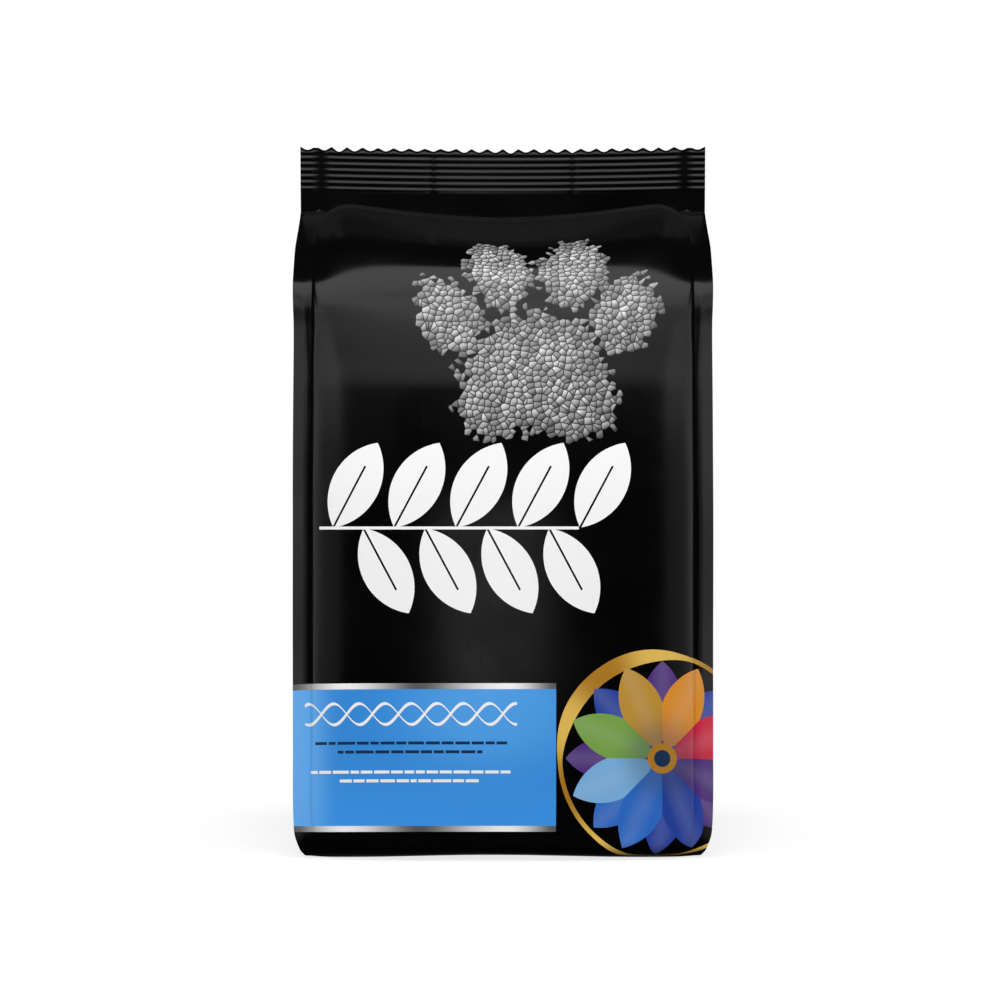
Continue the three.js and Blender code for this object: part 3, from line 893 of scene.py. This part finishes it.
def floor_material():
    """A pale floor that holds the bag's shadow, fades into the white and isn't mirrored in the film."""
    material = bpy.data.materials.new("pale_floor")
    material.use_nodes = True
    tree = material.node_tree
    tree.nodes.clear()
    desk = Desk(tree)
    place = desk.add("ShaderNodeTexCoord").outputs["Object"]
    outside = desk.vector("SUBTRACT", desk.vector("ABSOLUTE", place), FOOTPRINT)
    away = desk.vector("LENGTH", desk.vector("MAXIMUM", outside, (0, 0, 0)), output=1)
    path = desk.add("ShaderNodeLightPath").outputs
    seen = desk.maths("MAXIMUM", path["Is Camera Ray"], path["Is Transmission Ray"])
    matt = desk.add("ShaderNodeBsdfDiffuse")
    matt.inputs["Color"].default_value = (FLOOR_GREY, FLOOR_GREY, FLOOR_GREY, 1.0)
    glow = desk.add("ShaderNodeEmission")
    desk.feed(glow.inputs["Strength"], desk.maths("MULTIPLY", seen, FLOOR_GLOW))
    both = desk.add("ShaderNodeAddShader")
    desk.feed(both.inputs[0], matt.outputs[0])
    desk.feed(both.inputs[1], glow.outputs[0])
    clear = desk.add("ShaderNodeBsdfTransparent")
    fade = desk.add("ShaderNodeMixShader")
    thin = desk.ramp(away, FLOOR_CLEAR, FLOOR_GONE, FLOOR_THIN, 1.0)
    desk.feed(fade.inputs[0], desk.maths("MAXIMUM", thin, path["Is Glossy Ray"]))
    desk.feed(fade.inputs[1], both.outputs[0])
    desk.feed(fade.inputs[2], clear.outputs[0])
    desk.feed(desk.add("ShaderNodeOutputMaterial").inputs["Surface"], fade.outputs[0])
    return material


def make_floor(context):
    """The floor, level with the base."""
    mesh = bpy.data.meshes.new("floor")
    bm = bmesh.new()
    bmesh.ops.create_grid(bm, x_segments=1, y_segments=1, size=FLOOR_HALF)
    bm.to_mesh(mesh)
    bm.free()
    mesh.materials.append(floor_material())
    floor = bpy.data.objects.new("floor", mesh)
    context.collection.objects.link(floor)


def make_world(context):
    """White where the camera looks, a white wall behind the bag and a dark room elsewhere."""
    world = bpy.data.worlds.new("studio")
    world.use_nodes = True
    context.scene.world = world
    desk = Desk(world.node_tree)
    direction = desk.add("ShaderNodeTexCoord").outputs["Generated"]
    parts = desk.add("ShaderNodeSeparateXYZ")
    desk.feed(parts.inputs[0], direction)
    azimuth = desk.maths("ABSOLUTE", desk.maths("ARCTAN2", parts.outputs[0], parts.outputs[1]))
    elevation = desk.maths("ABSOLUTE", desk.maths("ARCSINE", parts.outputs[2]))
    wall = desk.maths("MULTIPLY", desk.ramp(azimuth, *map(math.radians, WALL_SIDES), 1.0, 0.0),
                      desk.ramp(elevation, *map(math.radians, WALL_TOP), 1.0, 0.0))
    path = desk.add("ShaderNodeLightPath").outputs
    seen = desk.maths("MAXIMUM", path["Is Glossy Ray"], path["Is Transmission Ray"])
    lit = desk.maths("MAXIMUM", path["Is Camera Ray"], desk.maths("MULTIPLY", wall, seen))
    background = world.node_tree.nodes["Background"]
    desk.feed(background.inputs["Strength"], desk.ramp(lit, 0.0, 1.0, ROOM_GREY, 1.0))
    background.inputs["Color"].default_value = (1.0, 1.0, 1.0, 1.0)


def make_softbox(context, name, azimuth, elevation, distance, width, height, brightness):
    """A soft rectangular lamp aimed at the middle of the bag."""
    lamp = bpy.data.lights.new(name, "AREA")
    lamp.shape = "RECTANGLE"
    lamp.size, lamp.size_y = width, height
    lamp.energy = brightness * math.pi * width * height
    around, up = math.radians(azimuth), math.radians(elevation)
    away = Vector((math.sin(around) * math.cos(up), -math.cos(around) * math.cos(up), math.sin(up)))
    box = bpy.data.objects.new(name, lamp)
    box.location = Vector((0, 0, BAG_HIGH[2] / 2)) + away * distance
    box.rotation_mode = "QUATERNION"
    box.rotation_quaternion = away.to_track_quat("Z", "Y")
    box.visible_camera = False
    context.collection.objects.link(box)


def make_camera(context):
    """A level camera in front of the bag."""
    data = bpy.data.cameras.new("camera")
    data.lens, data.sensor_width = CAMERA_LENS, CAMERA_SENSOR
    camera = bpy.data.objects.new("camera", data)
    camera.location = CAMERA_PLACE
    camera.rotation_euler = (math.radians(90), 0, 0)
    context.collection.objects.link(camera)
    context.scene.camera = camera


class LITTER_OT_make_stage(bpy.types.Operator):
    """Set up the floor, the lamps and the camera"""

    bl_idname = "litter.make_stage"
    bl_label = "Make Stage"

    def execute(self, context):
        make_floor(context)
        make_world(context)
        for name, values in SOFTBOXES.items():
            make_softbox(context, name, *values)
        make_camera(context)
        context.scene.view_settings.view_transform = "Standard"
        return {"FINISHED"}


class LITTER_PT_sidebar(bpy.types.Panel):
    """Lists the bag's operators, sizes and colours"""

    bl_label = "Litter Bag"
    bl_idname = "LITTER_PT_sidebar"
    bl_space_type = "VIEW_3D"
    bl_region_type = "UI"
    bl_category = "Litter Bag"

    def draw(self, context):
        for operator in (LITTER_OT_make_bag, LITTER_OT_make_stage):
            self.layout.operator(operator.bl_idname)
        for group in (context.scene.litter_sizes, context.scene.litter_inks):
            box = self.layout.box()
            for name in group.__annotations__:
                box.prop(group, name)


CLASSES = (LitterBagSizes, LitterBagInks, LITTER_OT_make_bag, LITTER_OT_make_stage, LITTER_PT_sidebar)


def register():
    for item in CLASSES:
        bpy.utils.register_class(item)
    bpy.types.Scene.litter_sizes = PointerProperty(type=LitterBagSizes)
    bpy.types.Scene.litter_inks = PointerProperty(type=LitterBagInks)


def unregister():
    del bpy.types.Scene.litter_inks
    del bpy.types.Scene.litter_sizes
    for item in reversed(CLASSES):
        bpy.utils.unregister_class(item)


def main():
    """Builds the bag and its stage."""
    register()
    bpy.ops.litter.make_bag()
    bpy.ops.litter.make_stage()


if __name__ == "__main__":
    main()
